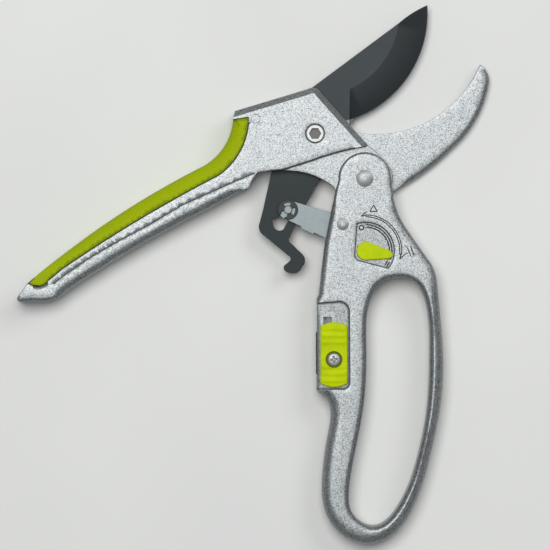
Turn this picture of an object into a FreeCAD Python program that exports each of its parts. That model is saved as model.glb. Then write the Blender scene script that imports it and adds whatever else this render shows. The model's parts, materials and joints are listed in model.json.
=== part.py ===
"""Ratchet pruning shears: cast body with inlaid grip, ground blade, hook jaw, D-loop handle, link, lock.

Origin: the rear end of the main pivot's axis, on the plane that the closed shears lie on.
+Z runs along the pivot towards the front face, +X and +Y lie in the plane that the jaws open in.
"""
import FreeCAD, Part
import math
import os
import Sketcher

V = FreeCAD.Vector
doc = FreeCAD.newDocument("PruningShears")

# Driving dimensions in millimetres and degrees, one sheet cell each.
drivingSizes = {
    "bodyThickness": 15.6,      # casting, rear face to front face
    "cheekThickness": 2.6,      # each side wall of the lower handle
    "bladeThickness": 3.0,
    "runningGap": 0.15,         # beside the blade and the link
    "sideGap": 0.3,             # between the lugs and the cheeks
    "pinFit": 0.08,             # radial, on everything that turns on a pin
    "armReach": 89.0,           # upper handle, from the bend to the tip
    "loopReach": 151.6,         # lower handle, from its pivot to the end of the loop
    "loopDrop": 41.2,           # from the handle pivot to the top of the finger opening
    "handlePivotX": 20.6,
    "handlePivotY": -18.6,
    "linkPivotX": -9.1,         # from the handle pivot
    "linkPivotY": -19.0,
    "tangPinX": -11.2,
    "tangPinY": -31.5,
    "mainShankRadius": 3.0,
    "mainHeadRadius": 3.8,
    "mainHeadHeight": 3.0,
    "boltSeatGap": 0.2,         # radial, round the bolt's head
    "socketFlats": 4.5,
    "socketDepth": 1.8,
    "boltChamfer": 0.4,
    "nutFlats": 11.0,
    "nutHeight": 4.0,
    "bushingRadius": 4.5,
    "dowelX": -24.6,
    "dowelY": 6.1,
    "dowelRadius": 1.95,
    "handleRivetRadius": 2.5,
    "handleRivetHead": 3.5,
    "linkRivetRadius": 1.8,
    "linkRivetHead": 2.45,
    "headHeight": 0.9,          # how far a rivet head stands up
    "dimpleRadius": 0.5,
    "dimpleDepth": 0.3,
    "spacerRadius": 4.2,
    "lugRadius": 11.6,
    "channelRadius": 13.9,
    "cheekRadius": 10.9,
    "cheekSweepGap": 2.4,       # between the cheeks and the rear plate's step
    "headBevel": 2.4,
    "loopRound": 2.2,
    "gripBevel": 1.6,
    "linkSheet": 1.5,
    "bladeSwing": 28.0,         # blade, from open to shut
    "linkHeel": 4.9,
    "linkEnd": 3.95,
    "tangPinRadius": 1.7,
    "tangPinHead": 3.1,
    "tangPinHeadHeight": 1.2,
    "slotSide": 0.45,           # pin to the side of the tang's slot
    "clipRadius": 4.15,
    "clipThickness": 0.8,
    "clipRim": 1.15,
    "clipSwingGap": 1.1,        # between the clip and its hollow in the upper handle
    "pinGrooveDepth": 0.25,
    "edgeRadius": 46.5,         # cutting edge, about the blade's own centre
    "grindRadius": 34.4,
    "edgeLand": 0.35,
    "jawRadius": 46.9,
    "gripFlange": 2.6,
    "gripWall": 3.0,
    "selectorX": 0.4,
    "selectorY": -30.0,
    "selectorShaft": 2.0,
    "selectorDepth": 1.3,
    "leverRise": 0.6,
    "leverLength": 11.2,
    "leverRadius": 3.8,
    "leverGap": 0.7,            # between the lever's tip and the wall of its recess
    "leverRound": 0.5,
    "camRadius": 4.4,
    "camThickness": 2.0,
    "selectorScrewHead": 2.4,
    "selectorScrewHeight": 1.2,
    "lockX": -12.8,
    "lockY": -73.0,
    "sliderWidth": 11.2,
    "sliderLength": 27.0,
    "sliderRise": 0.2,          # the slider's face above the casting
    "ribHeight": 0.5,
    "ribPitch": 2.2,
    "keyWidth": 6.0,
    "keyLength": 8.0,
    "recessDepth": 1.5,
    "lockTravel": 6.5,
    "lockScrewRadius": 1.5,
    "lockScrewHead": 2.75,
    "lockScrewDrop": 2.0,       # the screw's axis below the slider's middle
    "screwSeatDepth": 0.6,
    "latchSheet": 1.5,
}

sheet = doc.addObject("Spreadsheet::Sheet", "Sizes")
for row, (alias, number) in enumerate(drivingSizes.items(), start=1):
    sheet.set("A%d" % row, alias)
    sheet.set("B%d" % row, str(number))
    sheet.setAlias("B%d" % row, alias)
doc.recompute()


class Size:
    """A number and the sheet expression that gives it, kept together through sums and products."""

    def __init__(self, number, text):
        self.number = number
        self.text = text

    def __add__(self, other):
        other = asSize(other)
        return Size(self.number + other.number, "(%s + %s)" % (self.text, other.text))

    def __sub__(self, other):
        other = asSize(other)
        return Size(self.number - other.number, "(%s - %s)" % (self.text, other.text))

    def __mul__(self, other):
        other = asSize(other)
        return Size(self.number * other.number, "(%s * %s)" % (self.text, other.text))

    def __truediv__(self, other):
        other = asSize(other)
        return Size(self.number / other.number, "(%s / %s)" % (self.text, other.text))

    def __neg__(self):
        return Size(-self.number, "(0 - %s)" % self.text)

    def __radd__(self, other):
        return asSize(other) + self

    def __rsub__(self, other):
        return asSize(other) - self

    def __rmul__(self, other):
        return asSize(other) * self

    def __float__(self):
        return float(self.number)


def asSize(value):
    return value if isinstance(value, Size) else Size(float(value), repr(float(value)))


def given(alias):
    return Size(drivingSizes[alias], "Sizes." + alias)


zero = asSize(0.0)
front = given("bodyThickness")
middle = front / 2
bladeBottom = middle - given("bladeThickness") / 2
bladeTop = middle + given("bladeThickness") / 2
jawTop = bladeBottom - given("runningGap")        # the rear plates end here
plateBottom = bladeTop + given("runningGap")      # the front plates start here
channelBottom = given("cheekThickness")
channelTop = front - given("cheekThickness")
jawLugBottom = channelBottom + given("sideGap")
lugTop = channelTop - given("sideGap")
linkTop = plateBottom + given("linkSheet")
linkBottom = jawTop - given("linkSheet")
clipBottom = linkTop + 0.1
clipTop = clipBottom + given("clipThickness")
pinTop = clipTop + 0.4
handlePivot = (given("handlePivotX"), given("handlePivotY"))
linkPivot = (given("linkPivotX"), given("linkPivotY"))
tangPin = (given("tangPinX"), given("tangPinY"))
selectorPivot = (given("selectorX"), given("selectorY"))
recessFloor = front - given("recessDepth")
selectorFloor = front - given("selectorDepth")
leverTop = front + given("leverRise")


# ---------- sketches and features ----------

def makeBody(label, at=(zero, zero), level=zero, turn=0.0):
    body = doc.addObject("PartDesign::Body", label)
    body.Label = label
    body.Placement = FreeCAD.Placement(V(0, 0, 0), FreeCAD.Rotation(V(0, 0, 1), turn))
    place(body, at, level)
    return body


def place(item, at, level=zero):
    for axis, value in zip("xyz", (at[0], at[1], level)):
        item.setExpression("Placement.Base." + axis, asSize(value).text)


def sketchOn(body, name, level, role="XY_Plane"):
    sketch = body.newObject("Sketcher::SketchObject", name)
    plane = [item for item in body.Origin.OriginFeatures if item.Role == role][0]
    sketch.AttachmentSupport = (plane, [""])
    sketch.MapMode = "FlatFace"
    sketch.setExpression("AttachmentOffset.Base.z", asSize(level).text)
    return sketch


def point(pair):
    return V(float(pair[0]), float(pair[1]), 0)


def drawOutline(sketch, start, steps):
    """Closed outline: two numbers end a line, four give an arc's middle and end, a list is a curve."""
    here = point(start)
    for step in steps:
        if isinstance(step, list):
            curve = Part.BSplineCurve()
            curve.interpolate([here] + [point(pair) for pair in step])
            sketch.addGeometry(curve, False)
            here = point(step[-1])
        elif len(step) == 2:
            sketch.addGeometry(Part.LineSegment(here, point(step)), False)
            here = point(step)
        else:
            arc = Part.Arc(here, point(step[:2]), point(step[2:]))
            sketch.addGeometry(arc, False)
            here = point(step[2:])
    if here.distanceToPoint(point(start)) > 1e-6:
        sketch.addGeometry(Part.LineSegment(here, point(start)), False)


def drawLoop(sketch, points):
    curve = Part.BSplineCurve()
    curve.interpolate([point(pair) for pair in points], PeriodicFlag=True)
    sketch.addGeometry(curve, False)


def drawCircle(sketch, at, radius):
    x, y, radius = asSize(at[0]), asSize(at[1]), asSize(radius)
    index = sketch.addGeometry(Part.Circle(point((x, y)), V(0, 0, 1), float(radius)), False)
    for kind, value in (("DistanceX", x), ("DistanceY", y)):
        which = sketch.addConstraint(Sketcher.Constraint(kind, -1, 1, index, 3, float(value)))
        sketch.setExpression("Constraints[%d]" % which, value.text)
    which = sketch.addConstraint(Sketcher.Constraint("Radius", index, float(radius)))
    sketch.setExpression("Constraints[%d]" % which, radius.text)


def feature(body, kind, sketch, length, name):
    item = body.newObject("PartDesign::" + kind, name)
    item.Profile = sketch
    item.setExpression("Length", asSize(length).text)
    sketch.Visibility = False
    doc.recompute()
    return item


def padOutline(body, name, bottom, top, start, steps):
    sketch = sketchOn(body, name + "Sketch", bottom)
    drawOutline(sketch, start, steps)
    return feature(body, "Pad", sketch, top - bottom, name)


def padCircle(body, name, bottom, top, at, radius):
    sketch = sketchOn(body, name + "Sketch", bottom)
    drawCircle(sketch, at, radius)
    return feature(body, "Pad", sketch, top - bottom, name)


def checkedPocket(body, sketch, length, name):
    before = body.Shape.Volume
    pocket = feature(body, "Pocket", sketch, length, name)
    if body.Shape.Volume > before - 1e-3:
        raise RuntimeError("%s in %s cuts nothing" % (name, body.Label))
    return pocket


def pocketOutline(body, name, bottom, top, start, steps):
    sketch = sketchOn(body, name + "Sketch", top)
    drawOutline(sketch, start, steps)
    return checkedPocket(body, sketch, top - bottom, name)


def pocketCircle(body, name, bottom, top, at, radius):
    sketch = sketchOn(body, name + "Sketch", top)
    drawCircle(sketch, at, radius)
    return checkedPocket(body, sketch, top - bottom, name)


def dressEdges(body, kind, name, size, wanted):
    """Fillet or chamfer the tip's edges whose middle point passes the test."""
    base = body.Tip
    names = []
    for index, edge in enumerate(base.Shape.Edges, start=1):
        middlePoint = edge.valueAt((edge.FirstParameter + edge.LastParameter) / 2)
        if wanted(middlePoint, edge):
            names.append("Edge%d" % index)
    item = body.newObject("PartDesign::" + kind, name)
    item.Base = (base, names)
    item.setExpression("Radius" if kind == "Fillet" else "Size", asSize(size).text)
    doc.recompute()
    if not names or "Invalid" in item.State or item.Shape.isNull():
        raise RuntimeError("%s in %s failed on %s" % (name, body.Label, names))
    return item


def turned(label, at, profile):
    """A body of revolution about Z: profile lists (radius, height) corners, with four numbers for an arc."""
    body = makeBody(label, at)
    sketch = sketchOn(body, label + "Profile", zero, "XZ_Plane")
    drawOutline(sketch, profile[0], profile[1:])
    item = body.newObject("PartDesign::Revolution", label + "Turn")
    item.Profile = sketch
    item.ReferenceAxis = (sketch, ["V_Axis"])
    item.Angle = 360
    doc.recompute()
    return body


def cylinder(name, at, level, radius, height):
    item = doc.addObject("Part::Cylinder", name)
    item.setExpression("Radius", asSize(radius).text)
    item.setExpression("Height", asSize(height).text)
    place(item, at, level)
    return item


def combined(kind, label, shapes):
    item = doc.addObject("Part::" + kind, label)
    if kind == "Cut":
        item.Base, item.Tool = shapes
    else:
        item.Shapes = shapes
    item.Label = label
    doc.recompute()
    return item


def polar(centre, radius, degrees):
    angle = math.radians(degrees)
    return (float(centre[0]) + float(radius) * math.cos(angle),
            float(centre[1]) + float(radius) * math.sin(angle))


# ---------- upper handle, grip and hook jaw ----------

armStart = (-46.0, -18.0)
armSlope = math.radians(212.6)          # the way the arm runs, from the bend to the tip


def alongArm(distance, offset):
    """A point on the arm: distance from the bend, offset to the outer side."""
    run = (math.cos(armSlope), math.sin(armSlope))
    return (armStart[0] + distance * run[0] + offset * run[1],
            armStart[1] + distance * run[1] - offset * run[0])


def onArm(share, offset):
    return alongArm(share * float(given("armReach")), offset)


def nearTip(distance, offset):
    return alongArm(float(given("armReach")) + distance, offset)


gripHeadEnd = (-27.4, 7.0)
gripOuterEnd = (-34.0, 6.0)
gripTip = nearTip(-3.8, 2.3)
innerLine = [(-30.6, -6.6, -40.0, -17.4), onArm(0.33, -0.5) + onArm(0.785, -0.5), nearTip(-11.5, -1.4),
             nearTip(-7.0, -1.1) + gripTip]
outerLine = [(-37.5, -4.9, -46.2, -13.3), onArm(0.39, 6.0) + gripTip]


def reverseSteps(start, steps):
    """The same steps walked from their end back to start."""
    ends = [start] + [step[-2:] for step in steps]
    back = []
    for index in range(len(steps) - 1, -1, -1):
        back.append(steps[index][:-2] + ends[index])
    return back


def lugUnderside():
    """The front lug's round end below the handle pivot, ending at its right corner."""
    lowest = polar(handlePivot, given("lugRadius") + 0.7, -90)
    return lowest + polar(handlePivot, given("lugRadius") + 0.1, 13)


def closedTangPin():
    """Where the tang pin lies with the handles shut."""
    radius = math.hypot(float(tangPin[0]), float(tangPin[1]))
    angle = math.degrees(math.atan2(float(tangPin[1]), float(tangPin[0])))
    return polar((0, 0), radius, angle - float(given("bladeSwing")))


def makeUpperHandle():
    body = makeBody("upper_handle")
    armLower = [(-24.6, -17.6, -26.2, -20.0), (-27.9, -22.8, -31.0, -24.0), (-44.7, -31.4),
                onArm(0.463, -9.3) + nearTip(-15.3, -9.1), nearTip(-9.4, -9.4) + nearTip(-3.5, -6.6),
                nearTip(2.7, -2.8), nearTip(3.7, -1.2) + nearTip(2.4, -0.1), gripTip]
    headTop = [(-33.2, 9.4), (-3.0, 18.5), (0.2, 18.9, 2.4, 17.0), (21.7, -4.5), (21.2, -5.2, 20.3, -5.3),
               (9.0, -7.8, -1.5, -11.2), (-13.4, -15.0), (-18.2, -15.4), (-23.4, -16.2)]
    outline = [gripOuterEnd] + headTop + armLower + reverseSteps(gripHeadEnd, innerLine)
    padOutline(body, "Casting", zero, front, gripHeadEnd, outline)
    dressEdges(body, "Chamfer", "HeadBevel", given("headBevel"), isHeadFrontEdge)
    padOutline(body, "GripCore", given("gripFlange"), front - given("gripFlange"), gripHeadEnd, gripCore())
    pocketOutline(body, "JawSpace", zero, jawTop, (-27.0, 30.0),
                  [(-27.0, -9.6), (-22.6, -16.0), (-20.0, -24.0), (40.0, -24.0), (40.0, 30.0)])
    pocketOutline(body, "BladeCavity", jawTop, plateBottom, (-41.0, -38.0),
                  [(-41.0, -21.3), (-34.6, -15.9), (-25.0, -4.9), (-15.8, 4.0), (-13.2, 10.0), (-6.0, 24.0),
                   (40.0, 24.0), (40.0, -38.0)])
    pocketCircle(body, "LinkNotch", jawLugBottom + 0.1, lugTop, closedTangPin(),
                 given("clipRadius") + given("clipSwingGap"))
    padOutline(body, "FrontLug", plateBottom, lugTop, (-14.0, -13.0),
               [(-13.4, -15.2), (-9.4, -15.5), (-1.0, -17.2, 7.9, -22.3), lugUnderside(), (30.3, -12.9),
                (25.5, -7.6), (21.5, -4.5), (18.0, -2.0)])
    pocketCircle(body, "MainHole", zero, front, (zero, zero), given("mainShankRadius"))
    pocketCircle(body, "MainCounterbore", front - given("mainHeadHeight"), front, (zero, zero),
                 given("mainHeadRadius") + given("boltSeatGap"))
    pocketCircle(body, "RivetHole", plateBottom, lugTop, handlePivot,
                 given("handleRivetRadius") + given("pinFit"))
    pocketCircle(body, "DowelHole", zero, front, (given("dowelX"), given("dowelY")), given("dowelRadius"))


def isHeadFrontEdge(at, edge):
    """The head plate's top and right edges on the front face, with the round corner between them."""
    onFront = abs(at.z - float(front)) < 0.01 and edge.Length > 5
    return onFront and (at.y > 11.5 or at.x > 8) and at.y > 0


def gripCore():
    """The grip's inner block: its steps from the head end to the tip, then back along the casting."""
    core = [(-31.2, 4.6), (-34.3, -6.3, -43.6, -16.2), onArm(0.39, 2.5) + nearTip(-8.0, 0.6),
            nearTip(-7.0, -1.1)]
    return core + reverseSteps(gripHeadEnd, innerLine)[1:]


def makeGripInlay():
    body = makeBody("grip_inlay")
    padOutline(body, "Band", zero, front, gripHeadEnd, [gripOuterEnd] + outerLine
               + reverseSteps(gripHeadEnd, innerLine))
    flange = given("gripFlange")
    pocketOutline(body, "CoreSpace", flange, front - flange, gripHeadEnd, gripCore())
    dressEdges(body, "Chamfer", "OuterRound", given("gripBevel"), isGripOuterEdge)


def isGripOuterEdge(at, edge):
    onFace = abs(at.z - float(front)) < 0.01 or abs(at.z) < 0.01
    side = (at.x - armStart[0]) * math.sin(armSlope) - (at.y - armStart[1]) * math.cos(armSlope)
    return onFace and edge.Length > 12 and (side > 3.0 or at.x < -36 and at.y > -9)


def makeHookJaw():
    body = makeBody("hook_jaw")
    padOutline(body, "Plate", zero, jawTop, (17.0, 0.7),
               [(48.6, 6.2, 68.9, 29.0), (71.3, 26.8, 72.8, 22.5), (68.6, 8.6, 57.3, -6.0),
                (46.3, -15.5, 32.9, -23.6), (30.6, -25.2) + polar(handlePivot, given("lugRadius"), -55),
                polar(handlePivot, given("lugRadius"), -110) + polar(handlePivot, given("lugRadius"), 195),
                (-2.0, -11.7), (-13.0, -14.7), (-22.4, -15.7), (-26.9, -9.5), (-26.9, 11.0),
                (-6.0, 17.2), (6.0, 12.4), (11.4, 6.3)])
    pocketCircle(body, "CheekSweep", zero, jawLugBottom, handlePivot,
                 given("cheekRadius") + given("cheekSweepGap"))
    pocketOutline(body, "CheekCorner", zero, jawLugBottom, (11.5, -10.4),
                  [(-4.0, -18.2), (-4.0, -34.0), (20.0, -34.0)])
    pocketCircle(body, "MainHole", zero, jawTop, (zero, zero), given("mainShankRadius"))
    pocketHex(body, "NutPocket", zero, given("nutHeight"), given("nutFlats") / 2 + given("pinFit"))
    pocketCircle(body, "RivetHole", zero, jawTop, handlePivot, given("handleRivetRadius") + given("pinFit"))
    pocketCircle(body, "DowelHole", zero, jawTop, (given("dowelX"), given("dowelY")), given("dowelRadius"))


def drawHex(sketch, apothem):
    corners = [polar((0, 0), float(apothem) / math.cos(math.pi / 6), 60 * index) for index in range(6)]
    drawOutline(sketch, corners[0], corners[1:])


def pocketHex(body, name, bottom, top, apothem):
    sketch = sketchOn(body, name + "Sketch", top)
    drawHex(sketch, apothem)
    return checkedPocket(body, sketch, top - bottom, name)


def makeMainBolt():
    radius, head, cut = (float(given(name)) for name in ("mainShankRadius", "mainHeadRadius", "boltChamfer"))
    under, top = float(front - given("mainHeadHeight")), float(front)
    body = turned("main_bolt", (zero, zero), [(0, 0), (radius, 0), (radius, under), (head, under),
                                              (head, top - cut), (head - cut, top), (0, top)])
    pocketHex(body, "Socket", front - given("socketDepth"), front, given("socketFlats") / 2)


def makeMainNut():
    body = makeBody("main_nut")
    sketch = sketchOn(body, "NutSketch", zero)
    drawHex(sketch, given("nutFlats") / 2)
    drawCircle(sketch, (zero, zero), given("mainShankRadius"))
    feature(body, "Pad", sketch, given("nutHeight"), "Nut")


# ---------- blade ----------

edgeCentre = (0.5, 50.2)


def edgePoint(degrees):
    return polar(edgeCentre, given("edgeRadius"), degrees)


def makeBlade():
    slope = math.radians(241.9)                      # the way the tang's slot runs
    along = (math.cos(slope), math.sin(slope))
    side = (-along[1], along[0])
    half = float(given("tangPinRadius") + given("slotSide"))

    def inSlot(distance, offset):
        return (float(tangPin[0]) + distance * along[0] + offset * side[0],
                float(tangPin[1]) + distance * along[1] + offset * side[1])

    body = makeBody("blade_blank")
    padOutline(body, "Blank", bladeBottom, bladeTop, (46.9, 53.8),
               [edgePoint(-34) + edgePoint(-70.5), (15.9, 4.3), (12.2, -8.5, 1.6, -19.5), (-8.3, -37.8),
                (-10.3, -42.6), (-10.9, -44.2, -10.0, -45.3), (-4.9, -50.3), (-4.1, -52.8, -5.4, -55.2),
                (-8.0, -57.8, -11.0, -57.5), (-12.9, -56.2, -12.8, -54.7), (-10.6, -52.9),
                (-10.1, -51.8, -11.0, -50.6), (-21.0, -42.3), (-23.1, -39.8, -22.9, -36.6), (-21.5, -31.1),
                (-18.3, -16.7), (-12.6, 1.2, -3.5, 17.6), (35.0, 46.2), (41.2, 50.8, 46.9, 53.8)])
    pocketOutline(body, "Slot", bladeBottom, bladeTop, inSlot(-1.9, half),
                  [inSlot(-1.9 - half, 0) + inSlot(-1.9, -half), inSlot(5.0, -half), inSlot(6.6, -half - 2.2),
                   inSlot(8.8, -half), inSlot(9.6, 0) + inSlot(8.0, half)])
    pocketCircle(body, "Bore", bladeBottom, bladeTop, (zero, zero), given("bushingRadius"))
    cone = doc.addObject("Part::Cone", "GrindCone")
    spread = (given("edgeRadius") - given("grindRadius")) * given("bladeThickness")
    cone.setExpression("Radius1", (given("grindRadius") + spread
                                   / (given("bladeThickness") - given("edgeLand"))).text)
    cone.setExpression("Radius2", given("grindRadius").text)
    cone.setExpression("Height", given("bladeThickness").text)
    place(cone, edgeCentre, bladeBottom)
    block = doc.addObject("Part::Box", "GrindBlock")
    block.Length = 60
    block.Width = 70
    block.setExpression("Height", (given("bladeThickness") + 1).text)
    place(block, (14.4, 0.0), bladeBottom)
    swept = combined("Cut", "GrindTool", (block, cone))
    combined("Cut", "blade", (body, swept))


def makePivotBushing():
    length = given("bladeThickness") + given("runningGap")
    outer = cylinder("BushingOuter", (zero, zero), middle - length / 2, given("bushingRadius"), length)
    bore = cylinder("BushingBore", (zero, zero), middle - length / 2,
                    given("mainShankRadius") + given("pinFit"), length)
    combined("Cut", "pivot_bushing", (outer, bore))


def makeDowel():
    cylinder("head_dowel", (given("dowelX"), given("dowelY")), zero, given("dowelRadius"), front)


# ---------- lower handle ----------

channelWall = -3.6      # the channel's right wall, from the handle pivot
keyTop = 2.0            # the slider's key, from the slider's middle


def drop(y):
    """A height on the loop, from the top of the finger opening down, stretched to the loop's reach."""
    top = float(given("loopDrop"))
    return -top - (-y - 41.2) * (float(given("loopReach")) - top) / (151.6 - 41.2)


def low(*pairs):
    return [(x, drop(y)) for x, y in pairs]


def makeLowerHandle():
    body = makeBody("lower_handle", handlePivot)
    radius = float(given("cheekRadius"))
    padOutline(body, "Casting", zero, front, (-radius, -0.6),
               [(0.0, radius, radius, -0.6), (12.1, -8.9), (13.8, -14.2, 16.8, -20.0), (26.0, -33.2),
                [(28.8, -37.8)] + low((30.3, -45.5), (31.5, -57.5), (32.7, -76.0), (31.5, -94.4),
                                      (27.8, -113.0), (20.2, -136.5), (12.8, -147.0), (3.1, -151.6),
                                      (-8.6, -148.5), (-16.6, -137.4), (-17.6, -124.3), (-15.0, -105.0),
                                      (-14.3, -95.0), (-16.1, -91.0)),
                low((-18.6, -88.9))[0], low((-19.7, -88.0))[0] + low((-19.9, -86.3))[0], (-20.0, -51.6),
                (-19.9, -50.0, -19.1, -48.2), (-16.7, -27.6), (-14.0, -13.9), (-11.9, -4.3)])
    sketch = sketchOn(body, "FingerSketch", front)
    drawLoop(sketch, low((14.0, -41.2), (21.8, -43.8), (26.0, -53.5), (27.1, -72.0), (26.1, -95.0),
                         (22.3, -115.0), (14.4, -135.4), (3.9, -144.3), (-4.7, -139.5), (-6.4, -128.0),
                         (-3.4, -110.5), (-0.2, -92.0), (0.7, -70.0), (2.0, -51.4), (6.2, -43.7)))
    checkedPocket(body, sketch, front, "FingerOpening")
    dressEdges(body, "Fillet", "LoopRound", given("loopRound"), isLoopEdge)
    pocketOutline(body, "Channel", channelBottom, channelTop, (-30.0, 16.0),
                  [(16.0, 16.0), (16.0, -6.1), polar((0, 0), given("channelRadius"), -26),
                   polar((0, 0), given("channelRadius"), -45) + polar((0, 0), given("channelRadius"), -64),
                   (6.0, -35.0), (4.9, -38.9, 1.0, -40.0), (-1.6, -40.2), (-3.0, -40.8, channelWall, -42.4),
                   (channelWall, lockEnd()), (-30.0, lockEnd())])
    for name, at, hole in (("HandleRivetHole", (zero, zero), given("handleRivetRadius")),
                           ("LinkRivetHole", linkPivot, given("linkRivetRadius"))):
        pocketCircle(body, name, zero, front, at, hole)
    pocketCircle(body, "SelectorHole", channelTop, front, selectorPivot,
                 given("selectorShaft") + given("pinFit"))
    reach = given("leverLength") + given("leverGap")
    pocketOutline(body, "SelectorRecess", selectorFloor, front, (-4.2, -31.0),
                  [polar(selectorPivot, reach, 108),
                   polar(selectorPivot, reach, 35) + polar(selectorPivot, reach, -38),
                   (-1.8, -34.3), (-3.6, -33.4, -4.2, -31.0)])
    x, half = float(given("lockX")), float(given("sliderWidth")) / 2
    top, bottom = lockTop(), lockEnd()
    pocketOutline(body, "LockRecess", recessFloor, front, (-24.0, top - 1.0),
                  [(x + 1.2, top), (x + half - 0.4, top - 1.1, x + half + 0.9, top - 4.4),
                   (x + half + 1.0, bottom + 3.0),
                   (x + half, bottom + 0.6, x + half - 2.2, bottom), (-24.0, bottom)])
    stem = float(given("keyWidth")) / 2 + 0.2
    slotTop = lockKeyTop() + float(given("lockTravel")) + 0.5
    slotEnd = lockKeyTop() - float(given("keyLength")) - 0.3
    pocketOutline(body, "KeySlot", channelTop, recessFloor, (x - stem, slotTop),
                  [(x + stem, slotTop), (x + stem, slotEnd), (x - stem, slotEnd)])
    pocketOutline(body, "KeyWindow", channelTop, recessFloor, (x - 4.4, top - 6.3),
                  [(x - 0.8, top - 6.3), (x - 0.8, lockKeyTop()), (x - 4.4, lockKeyTop())])


def lockTop():
    """The top of the lock's recess: room for the slider and its travel."""
    return float(given("lockY") + given("sliderLength") / 2 + given("lockTravel")) + 2.0


def lockEnd():
    """The recess's lower end, just below the slider."""
    return float(given("lockY") - given("sliderLength") / 2) - 0.9


def lockKeyTop():
    """The upper end of the slider's key, from the handle pivot."""
    return float(given("lockY")) + keyTop


def isLoopEdge(at, edge):
    """The finger opening's edges on both faces."""
    onFace = abs(at.z - float(front)) < 0.01 or abs(at.z) < 0.01
    return onFace and edge.isClosed()


def rivet(label, at, radius, head, rise):
    """A round shank flush with the rear face, and a domed head with a small flat dimple."""
    radius, head, rise, top = float(radius), float(head), float(rise), float(front)
    dimple, floor = float(given("dimpleRadius")), top + rise - float(given("dimpleDepth"))
    return turned(label, at, [(0, 0), (radius, 0), (radius, top), (head, top), (head, top + rise * 0.28),
                              (head * 0.62, top + rise * 0.86, dimple, top + rise),
                              (dimple, floor), (0, floor)])


def makeHandleRivet():
    rivet("handle_rivet", handlePivot, given("handleRivetRadius"), given("handleRivetHead"),
          given("headHeight"))


def linkPlace():
    return (handlePivot[0] + linkPivot[0], handlePivot[1] + linkPivot[1])


def makeLinkRivet():
    rivet("link_rivet", linkPlace(), given("linkRivetRadius"), given("linkRivetHead"),
          given("headHeight") * 0.7)


def makeLugSpacer():
    length = plateBottom - jawTop
    outer = cylinder("SpacerOuter", handlePivot, jawTop, given("spacerRadius"), length)
    bore = cylinder("SpacerBore", handlePivot, jawTop, given("handleRivetRadius") + given("pinFit"), length)
    combined("Cut", "lug_spacer", (outer, bore))


coilPitch = 1.8         # in wire radii, so that the turns of the coil are one solid
legShare = 0.75         # of the wire's radius, so that a leg enters its turn cleanly


def makeSpring(label, at, inner, wire, turns, legs):
    """Close turns about a pin, with a straight leg from the top and the bottom one: (angle, reach)."""
    coil = float(inner) + wire
    levels = [float(middle) + coilPitch * wire * (index - (turns - 1) / 2) for index in range(turns)]
    waist = wire * math.sqrt(1 - (coilPitch / 2) ** 2)
    profile = [(coil, levels[0] - wire)]
    for level in levels[:-1]:
        profile.append((coil + wire, level, coil + waist, level + coilPitch / 2 * wire))
    profile.append((coil + wire, levels[-1], coil, levels[-1] + wire))
    for level in reversed(levels[1:]):
        profile.append((coil - wire, level, coil - waist, level - coilPitch / 2 * wire))
    profile.append((coil - wire, levels[0], coil, levels[0] - wire))
    pieces = [turned(label + "Coil", at, profile)]
    for level, (angle, reach) in zip((levels[-1], levels[0]), legs):
        leg = doc.addObject("Part::Cylinder", label + "Leg")
        leg.Radius = wire * legShare
        leg.Height = reach
        base = polar(at, coil, angle - 90)
        direction = V(*polar((0, 0), 1, angle), 0)
        leg.Placement = FreeCAD.Placement(V(base[0], base[1], level), FreeCAD.Rotation(V(0, 0, 1), direction))
        pieces.append(leg)
    combined("MultiFuse", label, pieces)


# ---------- link ----------

def makeLink():
    """Two plates and a web, drawn with the rivet at the origin and the tang pin along +X."""
    across = [float(tangPin[axis] - linkPlace()[axis]) for axis in (0, 1)]
    tip = math.hypot(across[0], across[1])
    body = makeBody("link", linkPlace(), zero, math.degrees(math.atan2(across[1], across[0])))
    end, heel = float(given("linkEnd")), float(given("linkHeel"))
    outline = [(tip + end, 0.0, tip + 0.4, end), (tip - 7.0, 5.2), (5.6, 7.3), (4.3, 7.7, 2.7, 7.2),
               (-3.4, heel - 1.3), (-heel, 0.0, -0.2, -heel), (6.5, -3.5)]
    for name, bottom in (("FrontPlate", plateBottom), ("RearPlate", linkBottom)):
        padOutline(body, name, bottom, bottom + given("linkSheet"), (tip - 0.3, -end), outline)
    padOutline(body, "Web", linkBottom, linkTop, (10.6, 5.3), [(16.4, 4.2), (16.4, 6.0), (10.6, 7.1)])
    pocketCircle(body, "RivetHole", linkBottom, linkTop, (zero, zero),
                 given("linkRivetRadius") + given("pinFit"))
    pocketCircle(body, "PinHole", linkBottom, linkTop, (tip, zero), given("tangPinRadius"))


grooveRadius = given("tangPinRadius") - given("pinGrooveDepth")


def makeTangPin():
    shank, groove = float(given("tangPinRadius")), float(grooveRadius)
    head, under = float(given("tangPinHead")), float(linkBottom)
    bottom = under - float(given("tangPinHeadHeight"))
    grooveLow, grooveHigh, top = float(clipBottom), float(clipTop), float(pinTop)
    cut = 0.2
    turned("tang_pin", tangPin, [(0, bottom), (head, bottom), (head, under), (shank, under),
                                 (shank, grooveLow), (groove, grooveLow), (groove, grooveHigh),
                                 (shank, grooveHigh), (shank, top - cut), (shank - cut, top), (0, top)])


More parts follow.
